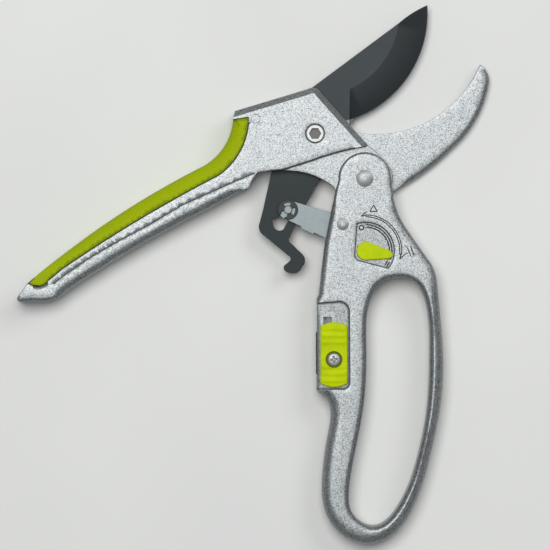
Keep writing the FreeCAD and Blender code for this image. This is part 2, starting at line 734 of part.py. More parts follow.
def makeClip():
    """An E-shaped clip: a ring with three windows about the pin, the last one open to the side."""
    windowWidth, mouthAngle, mouthWidth = 62.0, 229.0, 2.2
    ring = cylinder("ClipRing", tangPin, clipBottom, given("clipRadius"), given("clipThickness"))
    cuts = [cylinder("ClipBore", tangPin, clipBottom, grooveRadius, given("clipThickness"))]
    for index, centre in enumerate((97.0, -15.0, mouthAngle)):
        window = cylinder("ClipWindow%d" % index, tangPin, clipBottom, given("clipRadius") - given("clipRim"),
                          given("clipThickness"))
        window.Angle = windowWidth
        window.Placement.Rotation = FreeCAD.Rotation(V(0, 0, 1), centre - windowWidth / 2)
        cuts.append(window)
    mouth = doc.addObject("Part::Box", "ClipMouth")
    mouth.setExpression("Length", (given("clipRadius") + 1).text)
    mouth.Width = mouthWidth
    mouth.setExpression("Height", given("clipThickness").text)
    corner = polar((0, 0), mouthWidth / 2, mouthAngle - 90.0)
    place(mouth, (tangPin[0] + corner[0], tangPin[1] + corner[1]), clipBottom)
    mouth.Placement.Rotation = FreeCAD.Rotation(V(0, 0, 1), mouthAngle)
    cuts.append(mouth)
    combined("Cut", "e_clip", (ring, combined("MultiFuse", "ClipCuts", cuts)))


# ---------- selector and lock ----------

leverTurn = -9.0        # the way the selector lever points
camBottom = channelTop - given("sideGap") - given("camThickness")


def selectorPlace():
    return (handlePivot[0] + selectorPivot[0], handlePivot[1] + selectorPivot[1])


def makeSelectorLever():
    body = makeBody("selector_lever", selectorPlace(), zero, leverTurn)
    radius, tip = float(given("leverRadius")), float(given("leverLength"))
    padOutline(body, "Lever", selectorFloor + 0.1, leverTop, (0.6, radius),
               [(-radius, 0.0, 0.6, -radius), (tip - 1.4, -1.7), (tip, 0.0, tip - 1.4, 1.7)])
    padCircle(body, "Shaft", camBottom, leverTop, (zero, zero), given("selectorShaft"))
    dressEdges(body, "Fillet", "LeverRound", given("leverRound"), isLeverTop)


def isLeverTop(at, edge):
    return abs(at.z - float(leverTop)) < 0.01


def makeSelectorCam():
    body = makeBody("selector_cam", selectorPlace(), zero, leverTurn)
    radius, top = float(given("camRadius")), channelTop - given("sideGap")
    padOutline(body, "Cam", camBottom, top, (radius, 0.0),
               [(0.0, radius, -radius, 0.0), (-2.4, -3.2, 3.0, -3.2)])
    pocketCircle(body, "Hub", camBottom, top, (zero, zero), given("selectorShaft"))


def makeSelectorScrew():
    top, head = float(camBottom), float(given("selectorScrewHead"))
    bottom = top - float(given("selectorScrewHeight"))
    turned("selector_screw", selectorPlace(), [(0, bottom), (head - 0.6, bottom), (head, bottom + 0.4),
                                               (head, top), (0, top)])


def lockPlace():
    return (handlePivot[0] + given("lockX"), handlePivot[1] + given("lockY"))


latchTop = channelTop - given("sideGap")
latchBottom = latchTop - given("latchSheet")
screwSeat = front - given("screwSeatDepth")
screwAt = (zero, -given("lockScrewDrop"))       # from the slider's middle
keyHalf = float(given("keyWidth")) / 2


def screwPlace():
    return (lockPlace()[0] + screwAt[0], lockPlace()[1] + screwAt[1])


def makeLockSlider():
    """A plate with bowed ends and cross ribs in the casting's recess, and a key through to the channel."""
    body = makeBody("lock_slider", lockPlace())
    half, long = float(given("sliderWidth")) / 2, float(given("sliderLength")) / 2
    base, face = recessFloor + 0.1, front + given("sliderRise")
    bow, ribs, ribEnd, ribWidth = 1.6, 4, 0.4, 1.1
    padOutline(body, "Plate", base, face, (-half, long - bow),
               [(0.0, long, half, long - bow), (half, bow - long), (0.0, -long, -half, bow - long)])
    ribHalf = half - ribEnd
    for index in range(ribs):
        level = long - bow - 1.0 - float(given("ribPitch")) * index
        padOutline(body, "Rib%d" % index, face, face + given("ribHeight"), (-ribHalf, level),
                   [(ribHalf, level), (ribHalf, level - ribWidth), (-ribHalf, level - ribWidth)])
    keyEnd = keyTop - float(given("keyLength"))
    padOutline(body, "Key", channelTop, base, (-keyHalf, keyTop),
               [(keyHalf, keyTop), (keyHalf, keyEnd), (-keyHalf, keyEnd)])
    pocketCircle(body, "ScrewHole", channelTop, face, screwAt, given("lockScrewRadius"))
    pocketCircle(body, "ScrewSeat", screwSeat, face, screwAt, given("lockScrewHead") + 0.4)


def makeLockScrew():
    shank, head = float(given("lockScrewRadius")), float(given("lockScrewHead"))
    seat, top, end = float(screwSeat), float(front) + 0.3, float(latchBottom)
    turned("lock_screw", screwPlace(), [(0, end), (shank, end), (shank, seat), (head, seat),
                                        (head, top - 0.35), (head * 0.75, top - 0.1, head * 0.5, top),
                                        (0, top)])


def makeLockLatch():
    """Sheet steel plate behind the cheek, with a finger bent down into the blade's plane."""
    body = makeBody("lock_latch", lockPlace())
    left, right, fingerRight = -7.4, keyHalf + 1.5, -6.2
    padOutline(body, "Plate", latchBottom, latchTop, (left, 9.0), [(right, 9.0), (right, -8.0), (left, -8.0)])
    padOutline(body, "Finger", bladeBottom, latchBottom, (left, 9.4),
               [(fingerRight, 9.4), (fingerRight, 1.0), (left, 1.0)])
    pocketCircle(body, "ScrewHole", latchBottom, latchTop, screwAt, given("lockScrewRadius"))


def makeKeySpacer():
    """Thin washer that fills the gap between the slider's key and the latch plate."""
    body = makeBody("latch_washer", screwPlace())
    padCircle(body, "Washer", latchTop, channelTop, (zero, zero), keyHalf - 0.1)
    pocketCircle(body, "Bore", latchTop, channelTop, (zero, zero), given("lockScrewRadius"))


def build():
    makeUpperHandle()
    makeGripInlay()
    makeHookJaw()
    makeMainBolt()
    makeMainNut()
    makeDowel()
    makeLugSpacer()
    makeBlade()
    makePivotBushing()
    makeLowerHandle()
    makeHandleRivet()
    makeLinkRivet()
    makeSpring("return_spring", handlePivot, given("spacerRadius") + 0.3, 0.7, 2,
               [(-72.0, 14.0), (178.0, 8.0)])
    makeSpring("link_spring", linkPlace(), given("linkRivetRadius") + 0.4, 0.4, 3,
               [(-60.0, 12.0), (190.0, 4.0)])
    makeLink()
    makeTangPin()
    makeClip()
    makeSelectorLever()
    makeSelectorCam()
    makeSelectorScrew()
    makeLockSlider()
    makeLockScrew()
    makeLockLatch()
    makeKeySpacer()


nodes = ["upper_handle", "grip_inlay", "hook_jaw", "main_bolt", "main_nut", "head_dowel", "lug_spacer",
         "blade", "pivot_bushing", "lower_handle", "handle_rivet", "link_rivet", "return_spring",
         "link_spring", "link", "tang_pin", "e_clip", "selector_lever", "selector_cam", "selector_screw",
         "lock_slider", "lock_screw", "lock_latch", "latch_washer"]


def export():
    doc.recompute()
    for item in doc.Objects:
        if "Invalid" in item.State or "Error" in item.State:
            raise RuntimeError("%s (%s) failed" % (item.Name, item.Label))
    shapes = {}
    for label in nodes:
        item = doc.getObjectsByLabel(label)[0]
        if item.Shape.isNull() or not item.Shape.isValid():
            raise RuntimeError("%s has no valid shape" % label)
        shapes[label] = item.Shape
    os.makedirs("parts", exist_ok=True)
    for label, shape in shapes.items():
        shape.exportStep("parts/%s.step" % label)
        box = shape.BoundBox
        print("%-16s %7.1f mm3  z %.2f..%.2f  solids %d"
              % (label, shape.Volume, box.ZMin, box.ZMax, len(shape.Solids)))


build()
export()
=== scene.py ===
import json
import math

import bmesh
import bpy
import numpy as np
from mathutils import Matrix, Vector
from mathutils.geometry import delaunay_2d_cdt


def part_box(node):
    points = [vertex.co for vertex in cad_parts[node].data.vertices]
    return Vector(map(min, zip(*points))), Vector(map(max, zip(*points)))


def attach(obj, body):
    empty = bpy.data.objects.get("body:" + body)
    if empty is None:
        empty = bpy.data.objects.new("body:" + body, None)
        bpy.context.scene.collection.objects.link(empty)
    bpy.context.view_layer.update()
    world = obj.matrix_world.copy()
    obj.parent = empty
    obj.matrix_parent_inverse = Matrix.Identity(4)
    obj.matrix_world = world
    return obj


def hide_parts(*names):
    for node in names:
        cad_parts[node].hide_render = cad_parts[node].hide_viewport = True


# Ratchet pruning shears. Sizes here are in millimetres and degrees, and meshes are stored in metres.
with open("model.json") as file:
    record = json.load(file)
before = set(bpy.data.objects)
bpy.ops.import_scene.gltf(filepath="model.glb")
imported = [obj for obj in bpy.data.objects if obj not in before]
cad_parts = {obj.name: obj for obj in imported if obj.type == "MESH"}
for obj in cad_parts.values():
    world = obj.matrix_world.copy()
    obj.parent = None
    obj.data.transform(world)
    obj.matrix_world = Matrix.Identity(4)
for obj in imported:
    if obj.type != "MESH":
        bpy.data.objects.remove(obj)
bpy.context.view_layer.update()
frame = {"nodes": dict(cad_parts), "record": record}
record = frame["record"]
mm = 0.001
print("frame loaded")

bodyOf = {node: body for body, members in record["behaviour"]["bodies"].items() for node in members}
slotOf = {part["node"]: part["material_slot"] for part in record["subparts"]}
pivotOf = {joint["name"]: np.array(joint["pos_m"]) / mm for joint in record["behaviour"]["joints"]
           if "pos_m" in joint}


def boxOf(node):
    # lowest and highest corner of a node, in millimetres
    low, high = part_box(node)
    return np.array(low) / mm, np.array(high) / mm


def middleOf(node):
    low, high = boxOf(node)
    return (low + high) / 2


front = boxOf("lower_handle")[1][2]
handlePivot = pivotOf["handle_close"]
selectorPivot = pivotOf["selector_turn"]
linkPivot = pivotOf["link_swing"]
lockScrew = middleOf("lock_screw")


class Value:
    # wraps one output socket; sums, products and powers of values add Math nodes
    def __init__(self, finish, socket):
        self.finish = finish
        self.socket = socket

    def maths(self, operation, *others):
        inputs = dict(enumerate((self,) + others))
        return Value(self.finish, self.finish.add("Math", {"operation": operation}, inputs).outputs[0])

    def __add__(self, other):
        return self.maths("ADD", other)

    def __sub__(self, other):
        return self.maths("SUBTRACT", other)

    def __mul__(self, other):
        return self.maths("MULTIPLY", other)

    def __truediv__(self, other):
        return self.maths("DIVIDE", other)

    def __pow__(self, other):
        return self.maths("POWER", other)

    def __rsub__(self, other):
        return (self * -1.0) + other

    __radd__ = __add__
    __rmul__ = __mul__

    def clamp(self):
        return self.maths("MAXIMUM", 0.0).maths("MINIMUM", 1.0)

    def step(self, low, high):
        # 0 below low, 1 above high, straight between
        return ((self - low) / (high - low)).clamp()


class Finish:
    # one procedural material: add() makes any node, and the shader's own sockets hold what is constant
    def __init__(self, name, **constants):
        self.material = bpy.data.materials.new(name)
        self.material.use_nodes = True
        self.tree = self.material.node_tree
        self.shader = self.tree.nodes["Principled BSDF"]
        for socket, value in constants.items():
            self.shader.inputs[socket.replace("_", " ")].default_value = value
        self.place = Value(self, self.add("TexCoord").outputs["Object"])

    def join(self, socket, value):
        if isinstance(value, Value):
            self.tree.links.new(value.socket, socket)
        else:
            socket.default_value = value

    def add(self, kind, settings=None, inputs=None):
        node = self.tree.nodes.new("ShaderNode" + kind)
        for name, value in (settings or {}).items():
            if name == "stops":
                for element, (position, colour) in zip(node.color_ramp.elements, value):
                    element.position, element.color = position, colour
            else:
                setattr(node, name, value)
        for name, value in (inputs or {}).items():
            self.join(node.inputs[name], value)
        return node

    def noise(self, size, detail=2.0, roughness=0.5):
        # soft noise whose lumps are about size millimetres
        inputs = {"Vector": self.place, "Scale": 1 / (size * mm), "Detail": detail, "Roughness": roughness}
        return Value(self, self.add("TexNoise", None, inputs).outputs["Fac"])

    def cells(self, size):
        # one random value for each cell of about size millimetres
        cells = self.add("TexVoronoi", None, {"Vector": self.place, "Scale": 1 / (size * mm)})
        tint = Value(self, cells.outputs["Color"])
        return Value(self, self.add("SeparateColor", None, {0: tint}).outputs[0])

    def axes(self):
        parts = self.add("SeparateXYZ", None, {0: self.place})
        return [Value(self, output) / mm for output in parts.outputs]

    def attribute(self, name):
        return Value(self, self.add("Attribute", {"attribute_name": name}).outputs["Fac"])

    def mix(self, share, first, second):
        node = self.add("Mix", {"data_type": "RGBA"}, {0: share, 6: first, 7: second})
        return Value(self, node.outputs[2])

    def bump(self, height, depth, strength=1.0):
        # height runs from 0 to 1 and stands for depth millimetres
        bump = self.add("Bump", None, {"Height": height, "Distance": depth * mm, "Strength": strength})
        self.tree.links.new(bump.outputs[0], self.shader.inputs["Normal"])

    def drive(self, **links):
        for socket, value in links.items():
            self.join(self.shader.inputs[socket.replace("_", " ")], value)


def colour(red, green, blue):
    # display values from 0 to 255, made linear
    display = np.array([red, green, blue]) / 255
    linear = np.where(display < 0.04045, display / 12.92, ((display + 0.055) / 1.055) ** 2.4)
    return (*linear.tolist(), 1.0)


def castPaint():
    # hammered silver paint: light ground, fine dark and bright specks, pebbled, and painted shade, near
    # black, in grooves, at the feet of walls, along seams and on recess floors
    finish = Finish("hammeredSilver", Metallic=0.6)
    flakes = finish.cells(0.24)
    fine = finish.noise(0.17, 2.0, 0.7)
    lumps = finish.noise(7.0, 2.0)
    share = (flakes * 0.55 + fine * 0.45).step(0.24, 0.56)
    silver = finish.mix(share, colour(54, 58, 60), colour(156, 160, 161))
    silver = finish.mix(lumps.step(0.35, 0.75) * 0.12, silver, colour(116, 121, 122))
    engraved = finish.attribute("engraved")
    # the mark attribute darkens the paint towards near black as painted shade
    finish.drive(Base_Color=finish.mix(engraved * 0.95, silver, colour(30, 32, 34)),
                 Roughness=0.34 + flakes * 0.10 + engraved * 0.2)
    finish.bump(fine * 0.5 + flakes * 0.5, 0.020, 0.5)
    return finish.material


def gripRubber():
    # lime rubber with a shallow diamond knurl that follows the arm, a little bloom, and painted shade along
    # its seam with the casting
    knurl = {"pitch": 1.25, "turn": 32.6, "depth": 0.10}
    finish = Finish("gripRubber", Specular_IOR_Level=0.1)
    x, y = finish.axes()[:2]
    turn = math.radians(knurl["turn"])
    along = x * math.cos(turn) + y * math.sin(turn)
    across = y * math.cos(turn) - x * math.sin(turn)
    rate = math.pi / knurl["pitch"]
    first = ((along + across * 1.2) * rate).maths("SINE").maths("ABSOLUTE")
    second = ((along - across * 1.2) * rate).maths("SINE").maths("ABSOLUTE")
    diamonds = first.maths("MINIMUM", second).step(0.0, 0.5)
    speckle = finish.noise(0.6, 3.0, 0.65)
    patches = finish.noise(9.0, 2.0)
    tone = finish.mix((diamonds * 0.7 + speckle * 0.4).clamp(), colour(118, 136, 0), colour(170, 190, 2))
    tone = finish.mix(patches.step(0.3, 0.8) * 0.25, tone, colour(146, 164, 4))
    # painted shade: dark olive where the mark attribute is set
    finish.drive(Base_Color=finish.mix(finish.attribute("engraved") * 0.9, tone, colour(38, 44, 6)),
                 Roughness=0.52 + speckle * 0.16)
    finish.bump(diamonds * 0.8 + speckle * 0.2, knurl["depth"], 0.6)
    return finish.material


def bladeCoat():
    # dark slate coating, streaked across the grind, painted darker on the grind's slope as shade, and a bare
    # strip where the edge is honed
    grind = {"centre": (0.5, 50.2), "edge": 46.5, "start": 34.4, "honed": 0.2}
    finish = Finish("slateCoating", Specular_IOR_Level=0.2)
    x, y = finish.axes()[:2]
    fromX, fromY = x - grind["centre"][0], y - grind["centre"][1]
    radius = (fromX * fromX + fromY * fromY) ** 0.5
    inGrind = x.step(14.4, 14.5) * radius.step(grind["start"] - 0.1, grind["start"] + 0.1)
    edgeAt = grind["edge"] - grind["honed"]
    honed = x.step(12.0, 13.0) * radius.step(edgeAt - 0.1, edgeAt + 0.1)
    speckle = finish.noise(0.35, 3.0, 0.7)
    patches = finish.noise(7.0, 3.0)
    turn = fromY.maths("ARCTAN2", fromX)
    streaks = Value(finish, finish.add("TexNoise", {"noise_dimensions": "1D"},
                                       {"W": turn, "Scale": 160.0, "Detail": 3.0}).outputs[0])
    face = finish.mix((speckle * 0.6 + patches * 0.5).clamp(), colour(42, 50, 52), colour(62, 70, 73))
    # painted shade: the grind's sloping face is painted darker
    face = finish.mix(inGrind * (0.6 + streaks * 0.35), face, colour(20, 25, 28))
    face = finish.mix((1 - y.step(-22.0, -6.0)) * 0.75, face, colour(30, 38, 40))
    finish.drive(Base_Color=finish.mix(honed, face, colour(120, 126, 128)),
                 Roughness=0.46 + speckle * 0.12 + inGrind * (streaks * 0.14 - 0.08), Metallic=honed * 0.7)
    finish.bump(speckle, 0.012, 0.5)
    return finish.material


def limePlastic():
    # satin lime plastic with faint flow marks, rubbed high spots, and painted shade where the mark attribute
    # is set
    finish = Finish("limePlastic", Specular_IOR_Level=0.06)
    speckle = finish.noise(0.4, 2.0)
    flow = finish.noise(5.0, 2.0)
    tone = finish.mix(flow.step(0.25, 0.8), colour(176, 196, 0), colour(196, 216, 4))
    tone = finish.mix(speckle.step(0.45, 0.8) * 0.3, tone, colour(160, 180, 0))
    finish.drive(Base_Color=finish.mix(finish.attribute("engraved") * 0.8, tone, colour(40, 46, 8)),
                 Roughness=0.40 + flow * 0.12)
    finish.bump(speckle, 0.012, 0.5)
    return finish.material


def zincPlate(name, dark, light):
    # plated steel: fine grain, cloudy plating, and brown-grey painted shade in the bolt's socket, the screw's
    # slots and round the rivet heads
    finish = Finish(name, Metallic=0.6)
    grain = finish.noise(0.3, 3.0, 0.7)
    cloud = finish.noise(2.4, 3.0)
    tone = finish.mix(cloud.step(0.3, 0.75), dark, light)
    tone = finish.mix(grain.step(0.5, 0.8) * 0.3, tone, dark)
    # painted shade: the mark attribute darkens the plating to brown-grey
    shadeMark = finish.attribute("engraved")
    finish.drive(Base_Color=finish.mix(shadeMark * 0.9, tone, colour(58, 54, 50)), Roughness=0.36 + cloud * 0.16)
    finish.bump(grain, 0.010, 0.5)
    return finish.material


def darkMetal(name, dark, light, metallic, rough):
    # one recipe for spring wire, bronze and blackened steel: a mottled tone and an uneven gloss
    finish = Finish(name, Metallic=metallic)
    grain = finish.noise(0.3, 3.0, 0.7)
    mottle = finish.noise(1.6, 2.0)
    finish.drive(Base_Color=finish.mix((grain * 0.5 + mottle * 0.5).step(0.3, 0.7), dark, light),
                 Roughness=rough + mottle * 0.15)
    finish.bump(grain, 0.006, 0.5)
    return finish.material


finishes = {
    "cast_silver": castPaint(), "grip_rubber": gripRubber(), "blade_coating": bladeCoat(),
    "lime_plastic": limePlastic(),
    "zinc_steel": zincPlate("brightZinc", colour(98, 107, 109), colour(119, 128, 130)),
    "spring_steel": darkMetal("springSteel", colour(92, 94, 98), colour(140, 142, 146), 0.9, 0.3),
    "bronze": darkMetal("sinteredBronze", colour(130, 98, 60), colour(176, 136, 86), 0.8, 0.4),
    "black_steel": darkMetal("blackenedSteel", colour(12, 13, 15), colour(30, 32, 34), 0.3, 0.42)}
satinRivet = zincPlate("satinRivet", colour(152, 155, 154), colour(172, 174, 172))
print("finishes made:", len(finishes))


def nearest(points, starts, ends):
    # distance from each point to the nearest segment, that segment's index, and the share along it
    distance, index, share = [], [], []
    along = ends - starts
    square = np.maximum((along ** 2).sum(1), 1e-12)
    for part in np.array_split(points, max(1, len(points) // 2000)):
        away = part[:, None, :] - starts[None]
        shares = np.clip((away * along).sum(2) / square, 0, 1)
        gap = np.linalg.norm(away - shares[..., None] * along, axis=2)
        best = gap.argmin(1)
        rows = np.arange(len(part))
        distance.append(gap[rows, best])
        index.append(best)
        share.append(shares[rows, best])
    return np.concatenate(distance), np.concatenate(index), np.concatenate(share)


def inside(points, starts, ends):
    # even-odd test against closed loops given as segments
    answer = []
    for part in np.array_split(points, max(1, len(points) // 2000)):
        x, y = part[:, :1], part[:, 1:]
        spans = (starts[:, 1] > y) != (ends[:, 1] > y)
        rise = np.where(ends[:, 1] == starts[:, 1], 1.0, ends[:, 1] - starts[:, 1])
        crossing = starts[:, 0] + (y - starts[:, 1]) * (ends[:, 0] - starts[:, 0]) / rise
        answer.append((spans & (x < crossing)).sum(1) % 2 == 1)
    return np.concatenate(answer)


def spread(path, step):
    # points along a polyline, no further apart than step
    path = np.asarray(path, float)
    length = np.r_[0, np.cumsum(np.linalg.norm(np.diff(path, axis=0), axis=1))]
    at = np.linspace(0, length[-1], max(2, int(math.ceil(length[-1] / step)) + 1))
    return np.column_stack([np.interp(at, length, path[:, axis]) for axis in (0, 1)])


def arc(centre, radius, start, end, step=0.5):
    # points on an arc about centre: x = cx + r cos a, y = cy + r sin a
    count = max(3, int(abs(math.radians(end - start)) * radius / step) + 1)
    angle = np.radians(np.linspace(start, end, count))
    return np.column_stack([centre[0] + radius * np.cos(angle), centre[1] + radius * np.sin(angle)])


def offset(path, distance):
    # the path moved sideways, to its left
    run = np.gradient(path, axis=0)
    run /= np.maximum(np.linalg.norm(run, axis=1, keepdims=True), 1e-9)
    return path + distance * np.column_stack([-run[:, 1], run[:, 0]])


def hexGrid(low, high, step):
    x = np.arange(low[0], high[0], step)
    y = np.arange(low[1], high[1], step * 0.866)
    grid = np.stack(np.meshgrid(x, y), axis=2)
    grid[1::2, :, 0] += step / 2
    return grid.reshape(-1, 2)


def triangulate(rim, rimEdges, loose, lines):
    # triangles inside the rim that use all loose points and keep every line as edges
    points, edges, count = [rim, loose], [tuple(edge) for edge in rimEdges.tolist()], len(rim) + len(loose)
    for line in lines:
        points.append(line)
        edges += [(count + index, count + index + 1) for index in range(len(line) - 1)]
        count += len(line)
    result = delaunay_2d_cdt([Vector(point) for point in np.concatenate(points).tolist()], edges, [], 0, 1e-6)
    xy = np.array([tuple(point) for point in result[0]])
    source = np.array([origin[0] if origin else -1 for origin in result[3]])
    triangles = np.array(result[2])
    triangles = triangles[inside(xy[triangles].mean(1), rim[rimEdges[:, 0]], rim[rimEdges[:, 1]])]
    turn = np.cross(xy[triangles[:, 1]] - xy[triangles[:, 0]], xy[triangles[:, 2]] - xy[triangles[:, 0]])
    triangles[turn < 0] = triangles[turn < 0][:, ::-1]
    return xy, source, triangles[np.abs(turn) > 1e-9]


def roundDrop(distance, radius):
    # how far a quarter round of that radius lies below the face, at a distance from its edge
    inward = np.clip(radius - distance, 0, None)
    return radius - np.sqrt(np.clip(radius ** 2 - inward ** 2, 0, None))


selectorDepth, lockDepth = 1.3, 1.5  # the floors of the two recesses below the front face
recessDepths = np.array([selectorDepth, lockDepth])
inlayChamfer = 1.6
sameHeight = 0.02  # heights closer than this are one level
leastRound = 0.02  # an edge rounded less than this stays sharp


def merged(node, levels, step, flatness=0.999):
    # a merged copy of a CAD node as arrays, with the rims of its flat faces cut into short edges
    work = bmesh.new()
    work.from_mesh(frame["nodes"][node].data)
    bmesh.ops.remove_doubles(work, verts=work.verts, dist=2e-6)
    groups = {}
    for edge in work.edges:
        heights = [vertex.co.z / mm for vertex in edge.verts]
        flat = [abs(face.normal.z) > flatness for face in edge.link_faces]
        for level in levels:
            onLevel = max(abs(height - level) for height in heights) < sameHeight
            if onLevel and len(flat) == 2 and flat[0] != flat[1]:
                cuts = int(edge.calc_length() / mm / step)
                if cuts:
                    groups.setdefault(min(cuts, 150), []).append(edge)
    for cuts, edges in groups.items():
        bmesh.ops.subdivide_edges(work, edges=edges, cuts=cuts)
    bmesh.ops.triangulate(work, faces=work.faces)
    mesh = bpy.data.meshes.new(node)
    work.to_mesh(mesh)
    work.free()
    xyz = np.empty(len(mesh.vertices) * 3)
    mesh.vertices.foreach_get("co", xyz)
    corners = np.empty(len(mesh.loops), dtype=int)
    mesh.loops.foreach_get("vertex_index", corners)
    bpy.data.meshes.remove(mesh)
    return {"xyz": xyz.reshape(-1, 3) / mm, "tri": corners.reshape(-1, 3)}


def faceRim(shape, level, up, flatness):
    # the triangles of one flat face, and its rim: ids, edges with the face on their left, the wall's depth
    xyz, tri = shape["xyz"], shape["tri"]
    size = len(xyz)
    normal = np.cross(xyz[tri[:, 1]] - xyz[tri[:, 0]], xyz[tri[:, 2]] - xyz[tri[:, 0]])
    normal /= np.maximum(np.linalg.norm(normal, axis=1, keepdims=True), 1e-12)
    reach = sameHeight if flatness > 0.99 else inlayChamfer + 0.1  # a chamfer counts as part of the face
    face = (normal[:, 2] * up > flatness) & (np.abs(xyz[tri][:, :, 2] - level).max(1) < reach)
    sides = np.concatenate([tri[:, [0, 1, 2]], tri[:, [1, 2, 0]], tri[:, [2, 0, 1]]])
    code = sides[:, 0] * size + sides[:, 1]
    onFace = np.tile(face, 3)
    rimSides = sides[onFace & ~np.isin(sides[:, 1] * size + sides[:, 0], code[onFace])]
    order = np.argsort(code)
    wall = order[np.searchsorted(code[order], rimSides[:, 1] * size + rimSides[:, 0])]
    upright = np.abs(normal[wall % len(tri), 2]) < 0.05
    wallDepth = np.where(upright, (level - xyz[sides[wall, 2], 2]) * up, 0)
    ids, edges = np.unique(rimSides[:, :2], return_inverse=True)
    edges = edges.reshape(-1, 2)
    depth = np.zeros(len(ids))
    height = np.zeros(len(ids))
    for end in (0, 1):
        np.maximum.at(depth, edges[:, end], wallDepth)
        np.maximum.at(height, edges[:, end], -wallDepth)
    return face, ids, edges, depth, height


def facePoints(rim, edges, up, radius, foot, crevice, step):
    # points inside a face: rows beside its rim, closer together where the round is steep, then a grid
    starts, ends = rim[edges[:, 0]], rim[edges[:, 1]]
    runs = (ends - starts) / np.maximum(np.linalg.norm(ends - starts, axis=1, keepdims=True), 1e-9)
    inward = np.zeros_like(rim)
    for end in (0, 1):
        np.add.at(inward, edges[:, end], np.column_stack([-runs[:, 1], runs[:, 0]]) * up)
    inward /= np.maximum(np.linalg.norm(inward, axis=1, keepdims=True), 1e-9)
    rings = [(radius > leastRound, radius * share) for share in (0.04, 0.16, 0.36, 0.64, 1.0)]
    rings.append((foot, np.full(len(rim), crevice)))
    points = [np.empty((0, 2))]
    for wanted, reach in rings:
        if wanted.any():
            ring = (rim + inward * reach[:, None])[wanted]
            gap = nearest(ring, starts, ends)[0]
            points.append(ring[inside(ring, starts, ends) & (gap > reach[wanted] * 0.9)])
    grid = hexGrid(rim.min(0), rim.max(0), step)
    grid = grid[inside(grid, starts, ends)]
    gap, near = nearest(grid, starts, ends)[:2]
    points.append(grid[gap > np.maximum(radius[edges[near, 0]], crevice) + 0.3 * step])
    return np.concatenate(points)


def wallPress(xyz, rim, edges, rimDrop, depth, level):
    # how far a point inside a drawn wall goes down: the rim's drop * its share of the way from the middle
    gap, near, along = nearest(xyz[:, :2], rim[edges[:, 0]], rim[edges[:, 1]])
    drop = rimDrop[edges[near, 0]] * (1 - along) + rimDrop[edges[near, 1]] * along
    centre = (xyz[:, 2].min() + xyz[:, 2].max()) / 2
    rank = (xyz[:, 2] - centre) / (level - centre)
    onWall = (gap < 0.06) & (rank > 0) & (rank < 0.999) & (depth[edges[near, 0]] < drop + 0.05)
    return np.where(onWall, drop * rank, 0)


def reface(shape, level, up, radiusAt, engraving=None, sunk=0.0, step=2.4, lip=0.25, crevice=0.0,
           flatness=0.999, seam=0.0, shade=0.0):
    # Gives a flat face new triangles, rounded along its deep edges and engraved.
    # Each point's height is level - up * (quarter round of its distance to the edge + groove).
    # The mark is painted shade: 1 in a groove and along a seam, nearly 1 at the foot of a wall, and shade
    # elsewhere.
    xyz, tri = shape["xyz"], shape["tri"]
    face, ids, edges, depth, height = faceRim(shape, level, up, flatness)
    size = len(xyz)
    rim = xyz[ids, :2]
    # a recess's own wall is shallow and only gets a lip; a drawn wall may start with a short strip
    recess = (np.abs(depth[:, None] - recessDepths) < 0.05).any(1) & (sunk == 0)
    rounded = (depth > 0.9 - sunk / 2) & ~recess
    radius = np.where(rounded, radiusAt(rim, depth), np.where(depth > 0.5, lip, 0.0))
    starts, ends = rim[edges[:, 0]], rim[edges[:, 1]]
    soft = (radius[edges] > leastRound).all(1)
    foot = (height > 0.5) & (radius < leastRound) & (crevice > 0)
    loose = facePoints(rim, edges, up, radius, foot, crevice, step)
    paths = []
    if engraving:
        centres = [spread(path, 0.45) for path in engraving["paths"]]
        for path in centres:
            paths += [offset(path, side * engraving["width"] / 2) for side in (-1, 0, 1)]
        cutStarts = np.concatenate([path[:-1] for path in centres])
        cutEnds = np.concatenate([path[1:] for path in centres])
        loose = loose[nearest(loose, cutStarts, cutEnds)[0] > engraving["width"] * 0.8]
    xy, source, fresh = triangulate(rim, edges, loose, paths)
    drop = np.zeros(len(xy))
    if soft.any():
        gap, near, along = nearest(xy, starts[soft], ends[soft])
        softEdges = edges[soft][near]
        edgeRadius = radius[softEdges[:, 0]] * (1 - along) + radius[softEdges[:, 1]] * along
        drop = np.clip(roundDrop(gap, edgeRadius) - sunk, 0, None)
    onRim = (source >= 0) & (source < len(rim))
    # painted shade: nearly black at the foot of a wall, and the given shade over the rest of the face
    mark = np.where(onRim, foot[np.clip(source, 0, len(rim) - 1)] * 0.95, shade)
    # painted shade along a seam between two parts
    if seam:
        seamEdges = soft & (radius[edges] <= seam).all(1)
        seamGap = nearest(xy, starts[seamEdges], ends[seamEdges])[0]
        mark = np.maximum(mark, np.clip(1.6 - seamGap / seam * 1.6, 0, 1))
    # painted shade down in a groove
    if engraving:
        groove = np.clip(1 - nearest(xy, cutStarts, cutEnds)[0] / (engraving["width"] / 2), 0, 1)
        drop = drop + groove * engraving["depth"]
        mark = np.maximum(mark, groove)
    place = np.where(onRim, ids[np.clip(source, 0, len(rim) - 1)], size - 1 + np.cumsum(~onRim))
    newXyz = np.concatenate([xyz, np.column_stack([xy[~onRim], level - up * drop[~onRim]])])
    newXyz[place[onRim], 2] = level - up * drop[onRim]
    rimDrop = np.zeros(len(rim))
    rimDrop[source[onRim]] = drop[onRim]
    newXyz[:size, 2] -= up * wallPress(xyz, rim, edges, rimDrop, depth, level)
    oldMark = shape.get("engraved", np.zeros(size))
    shape["engraved"] = np.concatenate([oldMark, mark[~onRim]])
    shape["engraved"][place[onRim]] = np.maximum(shape["engraved"][place[onRim]], mark[onRim])
    fresh = place[fresh]
    shape["xyz"] = newXyz
    shape["tri"] = np.concatenate([tri[~face], fresh if up > 0 else fresh[:, ::-1]])


def newMesh(name, xyz, faces, engraved=None):
    mesh = bpy.data.meshes.new(name)
    mesh.from_pydata((np.asarray(xyz) * mm).tolist(), [], np.asarray(faces).tolist())
    mesh.validate()
    if engraved is not None:
        layer = mesh.attributes.new("engraved", "FLOAT", "POINT")
        layer.data.foreach_set("value", engraved.astype(np.float32))
    return mesh


cornerAngle = 38


